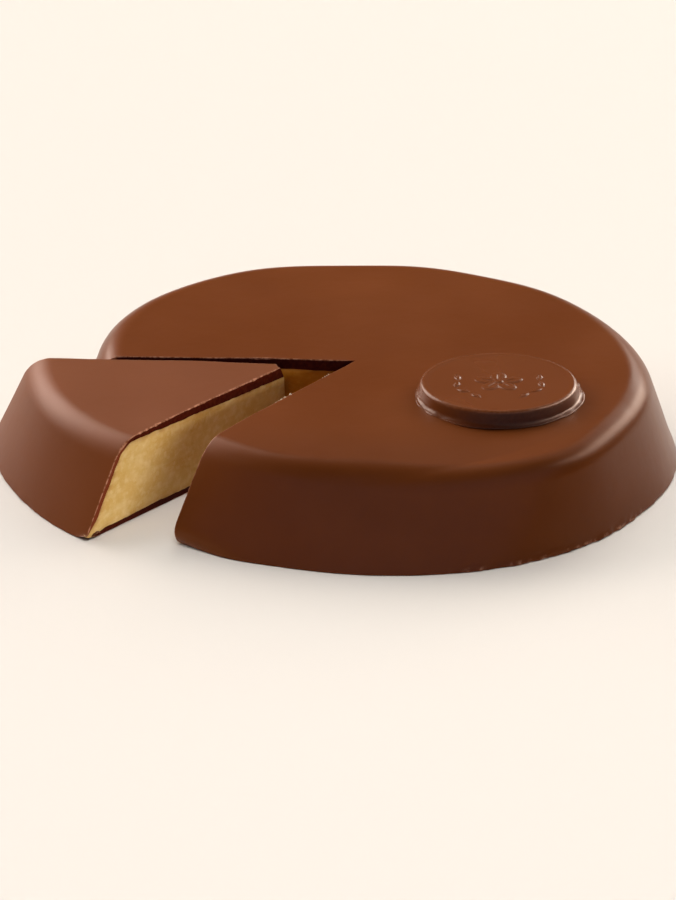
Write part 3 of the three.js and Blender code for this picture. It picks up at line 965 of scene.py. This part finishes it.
# materials. a mix of four numbers is the noise's range and the shares that it is turned into
chocolateLook = {
    "dark": (0.146, 0.0368, 0.0056, 1),
    "light": (0.168, 0.0440, 0.0072, 1),
    "bloom": (0.180, 0.050, 0.019, 1),
    "cut": (0.042, 0.0034, 0.0007, 1),
    "cutPale": (0.070, 0.0100, 0.0022, 1),
    "cutThin": (0.175, 0.036, 0.0125, 1),   # cut coat where it is thin and the marzipan glows through
    "cutLow": (0.040, 0.0046, 0.0012, 1),   # cut coat of the base
    "specksAndHighlight": (0.470, 0.215, 0.125, 1),       # pale colour: painted highlights on cut edges, the medallion's rim and the flake's top, and specks at the foot
    "patchScale": 42.0,
    "bloomScale": 260.0,
    "grainScale": 1500.0,
    "patchMix": (0.2, 0.8, -0.2, 1.2),
    "bloomMix": (0.2, 0.8, 0, 0.14),
    "grainMix": (0.4, 0.7, 0, 1),
    "thinMix": 0.85,
    "lowMix": (0.0010, 0.0024, 0.75, 0),    # by the height in metres
    "specksAndHighlightMix": (0.40, 0.60, 0.1, 1.0),
    "rough": (0.27, 0.34),
    "cutRough": 0.3,                # added on cut faces
    "specular": 0.10,
    "cutGrain": 1.6,                # relief of the grain on cut faces
    "bump": (0.10, 0.0004),         # strength and depth in metres
}
sliceChocolateLook = {**chocolateLook, "rough": (0.42, 0.48), "specular": 0.16}     # handled, so duller
cutChocolateLook = {**chocolateLook, "rough": (0.5, 0.6), "specular": 0.07}     # fresh from the knife
medallionChocolateLook = {
    **chocolateLook,
    "dark": (0.166, 0.0425, 0.0075, 1),
    "light": (0.186, 0.0500, 0.0095, 1),
    "rough": (0.24, 0.29),
    "specular": 0.40,
}
marzipanFinish = {
    "deep": (0.545, 0.337, 0.088, 1),
    "gold": (0.615, 0.415, 0.148, 1),
    "pale": (0.73, 0.585, 0.305, 1),
    "smear": (0.27, 0.10, 0.030, 1),
    "cellScale": 1500.0,
    "cloudScale": 170.0,
    "mottleScale": 650.0,
    "fineScale": 3200.0,
    "streakScale": 420.0,
    "streakDrag": (0.35, 1.6, 1.0),
    "cloudMix": (0.35, 0.65, 0, 1),
    "fineMix": (0.45, 0.75, 0, 0.6),
    "streakMix": (0.46, 0.80, 0, 0.26),
    "mottlePale": (0.50, 0.72, 0, 0.4),
    "mottleDeep": (0.48, 0.28, 0, 0.5),
    "cellMix": (0.84, 0.97, 0, 0.22),
    "smearMix": (0.42, 0.62, 0.75, 0.1),
    "rough": 0.72,
    "specular": 0.2,
    "glow": 0.06,                   # light that goes under the surface, its reach by colour, and scale
    "glowRadius": (1.0, 0.55, 0.2),
    "glowScale": 0.0012,
    "cellRelief": 0.9,
    "bump": (0.16, 0.0003),
}
shadedMarzipanFinish = {     # painted shade: a darker, browner copy of the marzipan for the notch, which lies in shade
    **marzipanFinish,
    "deep": (0.41, 0.145, 0.008, 1),
    "gold": (0.46, 0.180, 0.013, 1),
    "pale": (0.54, 0.27, 0.045, 1),
    "specular": 0.06,
}


def startMaterial(name):
    # a new material, its nodes and its shader
    material = bpy.data.materials.new(name)
    material.use_nodes = True
    tree = material.node_tree
    return material, tree, tree.nodes["Principled BSDF"]


def addNode(tree, kind, settings=None, inputs=None):
    # a node with its settings, and its inputs set to values or linked to other nodes' sockets
    node = tree.nodes.new(kind)
    for key, value in (settings or {}).items():
        setattr(node, key, value)
    for key, value in (inputs or {}).items():
        if isinstance(value, bpy.types.NodeSocket):
            tree.links.new(value, node.inputs[key])
        else:
            node.inputs[key].default_value = value
    return node


def noiseOf(tree, vector, scale, detail):
    # cloudy noise, about 0 to 1
    inputs = {"Vector": vector, "Scale": scale, "Detail": detail}
    return addNode(tree, "ShaderNodeTexNoise", None, inputs).outputs["Fac"]


def rangeOf(tree, value, low, high, toLow, toHigh):
    # straight from one range to another, held at its ends
    inputs = {"Value": value, "From Min": low, "From Max": high, "To Min": toLow, "To Max": toHigh}
    return addNode(tree, "ShaderNodeMapRange", {"clamp": True}, inputs).outputs["Result"]


def mixColours(tree, share, first, second):
    # the first colour at 0, the second at 1
    inputs = {0: share, 6: first, 7: second}
    return addNode(tree, "ShaderNodeMix", {"data_type": "RGBA", "blend_type": "MIX"}, inputs).outputs[2]


def numbers(tree, kind, first, second):
    # a sum or a product
    return addNode(tree, "ShaderNodeMath", {"operation": kind}, {0: first, 1: second}).outputs[0]


def shareOf(tree, name):
    # a share that the mesh carries
    return addNode(tree, "ShaderNodeAttribute", {"attribute_name": name}).outputs["Fac"]


def roughen(tree, shader, height, bump):
    # relief from a height, by strength and depth
    inputs = {"Height": height, "Strength": bump[0], "Distance": bump[1]}
    tree.links.new(addNode(tree, "ShaderNodeBump", None, inputs).outputs["Normal"], shader.inputs["Normal"])


def chocolateMaterial(name, look):
    # satin chocolate: slow patches of two browns, faint fine bloom, and a darker crumbly finish on cut faces,
    # which on the medallion's front is painted shade
    material, tree, shader = startMaterial(name)
    place = addNode(tree, "ShaderNodeTexCoord").outputs["Object"]
    cut, near = shareOf(tree, "cutShare"), shareOf(tree, "nearShare")
    patch = noiseOf(tree, place, look["patchScale"], 3.0)
    bloom = noiseOf(tree, place, look["bloomScale"], 4.0)
    grain = noiseOf(tree, place, look["grainScale"], 3.0)
    body = mixColours(tree, rangeOf(tree, patch, *look["patchMix"]), look["dark"], look["light"])
    body = mixColours(tree, rangeOf(tree, bloom, *look["bloomMix"]), body, look["bloom"])
    crumb = mixColours(tree, rangeOf(tree, grain, *look["grainMix"]), look["cut"], look["cutPale"])
    crumb = mixColours(tree, numbers(tree, "MULTIPLY", near, look["thinMix"]), crumb, look["cutThin"])
    height = addNode(tree, "ShaderNodeSeparateXYZ", None, {"Vector": place}).outputs["Z"]
    crumb = mixColours(tree, rangeOf(tree, height, *look["lowMix"]), crumb, look["cutLow"])
    # painted highlights and specks: the near share, broken up by the grain, mixes in the pale colour
    specksAndHighlightShare = numbers(tree, "MULTIPLY", near, rangeOf(tree, grain, *look["specksAndHighlightMix"]))
    body = mixColours(tree, specksAndHighlightShare, body, look["specksAndHighlight"])
    tree.links.new(mixColours(tree, cut, body, crumb), shader.inputs["Base Color"])
    satin = rangeOf(tree, patch, *look["patchMix"][:2], *look["rough"])
    rough = numbers(tree, "ADD", satin, numbers(tree, "MULTIPLY", cut, look["cutRough"]))
    tree.links.new(rough, shader.inputs["Roughness"])
    shader.inputs["Specular IOR Level"].default_value = look["specular"]
    crumbly = numbers(tree, "MULTIPLY", grain, numbers(tree, "MULTIPLY", cut, look["cutGrain"]))
    roughen(tree, shader, numbers(tree, "ADD", bloom, crumbly), look["bump"])
    return material


def marzipanMaterial(name, look):
    # ground almond paste: cells of pale and gold grain, cloudy tone, dragged streaks, and chocolate that is
    # smeared in from the borders
    material, tree, shader = startMaterial(name)
    place = addNode(tree, "ShaderNodeTexCoord").outputs["Object"]
    flat = addNode(tree, "ShaderNodeUVMap", {"uv_map": "cutMap"}).outputs["UV"]
    near = shareOf(tree, "nearShare")
    cells = addNode(tree, "ShaderNodeTexVoronoi", None, {"Vector": place, "Scale": look["cellScale"]})
    cellTone = addNode(tree, "ShaderNodeSeparateColor", None, {"Color": cells.outputs["Color"]}).outputs[0]
    cloud = noiseOf(tree, place, look["cloudScale"], 3.0)
    fine = noiseOf(tree, place, look["fineScale"], 4.0)
    drag = addNode(tree, "ShaderNodeMapping", None, {"Vector": flat, "Scale": look["streakDrag"]})
    streak = noiseOf(tree, drag.outputs["Vector"], look["streakScale"], 3.0)
    mottle = noiseOf(tree, place, look["mottleScale"], 3.0)
    body = look["deep"]
    for noise, mix, tone in (
            (cloud, "cloudMix", "gold"), (fine, "fineMix", "gold"), (streak, "streakMix", "pale"),
            (mottle, "mottlePale", "pale"), (mottle, "mottleDeep", "deep"), (cellTone, "cellMix", "pale")):
        body = mixColours(tree, rangeOf(tree, noise, *look[mix]), body, look[tone])
    smear = numbers(tree, "MULTIPLY", near, rangeOf(tree, streak, *look["smearMix"]))
    tree.links.new(mixColours(tree, smear, body, look["smear"]), shader.inputs["Base Color"])
    for socket, key in (
            ("Roughness", "rough"), ("Specular IOR Level", "specular"), ("Subsurface Weight", "glow"),
            ("Subsurface Radius", "glowRadius"), ("Subsurface Scale", "glowScale")):
        shader.inputs[socket].default_value = look[key]
    cellHeight = numbers(tree, "MULTIPLY", cells.outputs["Distance"], look["cellRelief"])
    roughen(tree, shader, numbers(tree, "ADD", fine, cellHeight), look["bump"])
    return material


satinChocolate = chocolateMaterial("satinChocolate", chocolateLook)
sliceChocolate = chocolateMaterial("sliceChocolate", sliceChocolateLook)
medallionChocolate = chocolateMaterial("medallionChocolate", medallionChocolateLook)
cutChocolate = chocolateMaterial("cutChocolate", cutChocolateLook)
almondMarzipan = marzipanMaterial("almondMarzipan", marzipanFinish)
shadedMarzipan = marzipanMaterial("shadedMarzipan", shadedMarzipanFinish)
paintedGlintBeads, beadShader = startMaterial("paintedGlintBeads")[::2]
beadShader.inputs["Base Color"].default_value = beadLook["colour"]
beadShader.inputs["Roughness"].default_value = beadLook["rough"]
print("materials ready")


def makePiece(name, patches, look, node, slot, *materials):
    # the joined patches with their materials, body and replaced node; the slot is not used
    piece = joinPatches(name, patches, look["creaseAngle"])
    for material in materials:
        piece.data.materials.append(material)
    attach(piece, "root")
    if node:
        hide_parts(node)
    return piece


cakeCoat = makePiece(
    "cakeCoat", coatPatches(cakeCut), coatLook, "cake_coat", "chocolate", satinChocolate, cutChocolate)
sliceCoat = makePiece(
    "sliceCoat", coatPatches(sliceCut), coatLook, "slice_coat", "chocolate", sliceChocolate, cutChocolate)
cakeMarzipan = makePiece(
    "cakeMarzipan", marzipanPatches(cakeCut), marzipanLook, "cake_marzipan", "marzipan", shadedMarzipan)
sliceMarzipan = makePiece(
    "sliceMarzipan", marzipanPatches(sliceCut), marzipanLook, "slice_marzipan", "marzipan", almondMarzipan)
makePiece("medallionDisc", medallionPatches(), medallionLook, "medallion", "chocolate", medallionChocolate)
makePiece("cornerFlake", flakePatches(), flakeLook, None, "chocolate", sliceChocolate)
makePiece("edgeBeads", beadPatches(), beadLook, None, "chocolate", paintedGlintBeads)


# table, lights and camera
stageLook = {
    "tableHalf": 1.6,
    "tableDrop": 5e-5,              # a hair below the cake's base
    "table": (0.60, 0.582, 0.555, 1),
    "tableRough": 0.55,
    "air": (0.035, 0.034, 0.032, 1),
}


def paleTable():
    # one flat square
    half, low = stageLook["tableHalf"], -stageLook["tableDrop"]
    mesh = bpy.data.meshes.new("table")
    corners = [(-half, -half, low), (half, -half, low), (half, half, low), (-half, half, low)]
    mesh.from_pydata(corners, [], [(0, 1, 2, 3)])
    material, shader = startMaterial("paleTable")[::2]
    shader.inputs["Base Color"].default_value = stageLook["table"]
    shader.inputs["Roughness"].default_value = stageLook["tableRough"]
    mesh.materials.append(material)
    table = bpy.data.objects.new("table", mesh)
    bpy.context.scene.collection.objects.link(table)
    return table


table = paleTable()

# softboxes: compass angle from +X, height angle, roll, distance, width, tall, power, colour, whether it gives
# soft light, gloss or both, and the pieces that it lights, or none for all
softboxes = {
    "topDiffuser": (80.0, 44.0, 0.0, 1.3, 1.2, 0.8, 11.5, (1.0, 0.965, 0.90), "soft", ()),
    "rightStrip": (40.0, 24.0, -39.0, 2.1, 1.9, 0.62, 16.0, (1.0, 0.82, 0.69), "both", ()),
    "rightGloss": (40.0, 28.0, -39.0, 2.1, 1.9, 0.62, 18.0, (1.0, 0.71, 0.53), "gloss", ()),
    "rightTail": (8.0, 48.0, -45.0, 2.1, 1.0, 0.5, 11.0, (1.0, 0.75, 0.60), "gloss", ()),
    "rightEdge": (62.0, 19.0, 0.0, 2.1, 1.0, 0.5, 9.5, (1.0, 0.88, 0.78), "both", ()),
    "leftBack": (131.0, 27.0, 0.0, 2.1, 1.36, 1.36, 28.0, (1.0, 0.83, 0.72), "both", ()),
    "leftGloss": (131.0, 35.0, 0.0, 2.1, 1.36, 1.7, 46.0, (1.0, 0.80, 0.70), "gloss", (cakeCoat, sliceCoat)),
    "leftDiffuser": (168.0, 25.0, 0.0, 2.4, 1.2, 0.9, 22.0, (1.0, 0.92, 0.85), "soft", ()),
    "cutKicker": (-57.0, 11.0, 0.0, 2.4, 1.9, 0.7, 36.0, (1.0, 0.97, 0.92), "soft",
                  (cakeMarzipan, sliceMarzipan, sliceCoat)),
    "tableFill": (-90.0, 65.0, 0.0, 1.0, 0.6, 0.6, 7.5, (1.0, 0.98, 0.94), "soft", (table,)),
    "frontCard": (-80.0, 37.0, 0.0, 2.8, 4.2, 3.4, 14.4, (1.0, 0.87, 0.92), "both", ()),
    "frontGloss": (-96.0, 37.0, 0.0, 2.8, 6.2, 3.4, 43.0, (0.70, 0.54, 1.0), "gloss", (cakeCoat, sliceCoat)),
}


def hangSoftbox(name, angle, rise, roll, distance, width, tall, power, colour, shines, pieces):
    # an area light on a sphere round the cake, rolled about its own axis and turned to face the middle
    light = bpy.data.lights.new(name, "AREA")
    light.shape = "RECTANGLE"
    light.size, light.size_y = width, tall
    light.energy = power
    light.color = colour
    box = bpy.data.objects.new(name, light)
    a, e = math.radians(angle), math.radians(rise)
    level = distance * math.cos(e)
    box.location = (level * math.cos(a), level * math.sin(a), distance * math.sin(e))
    facing = Matrix.Rotation(a + math.pi / 2, 3, "Z") @ Matrix.Rotation(math.pi / 2 - e, 3, "X")
    box.rotation_euler = (facing @ Matrix.Rotation(math.radians(roll), 3, "Z")).to_euler()
    box.visible_glossy, box.visible_diffuse = shines != "soft", shines != "gloss"
    if pieces:
        lit = bpy.data.collections.new(name)
        for piece in pieces:
            lit.objects.link(piece)
        box.light_linking.receiver_collection = lit
    bpy.context.scene.collection.objects.link(box)


# place in metres, tilt up from straight down in degrees, lens and sensor in millimetres
cameraLook = {
    "place": (-0.00614, -0.84031, 0.37323),
    "tilt": 66.0,
    "lens": 201.335,
    "sensor": 36.0,
    "clip": (0.01, 20.0),
}


def setCamera():
    # a camera on the cake's front side, level from left to right
    camera = bpy.data.cameras.new("camera")
    camera.lens, camera.sensor_width = cameraLook["lens"], cameraLook["sensor"]
    camera.clip_start, camera.clip_end = cameraLook["clip"]
    eye = bpy.data.objects.new("camera", camera)
    eye.location = cameraLook["place"]
    eye.rotation_euler = (math.radians(cameraLook["tilt"]), 0, 0)
    bpy.context.scene.collection.objects.link(eye)
    bpy.context.scene.camera = eye


for boxName, values in softboxes.items():
    hangSoftbox(boxName, *values)
world = bpy.data.worlds.new("studioAir")
world.use_nodes = True
world.node_tree.nodes["Background"].inputs["Color"].default_value = stageLook["air"]
bpy.context.scene.world = world
bpy.context.scene.view_settings.view_transform = "Standard"
setCamera()
print("stage, lights and camera ready")
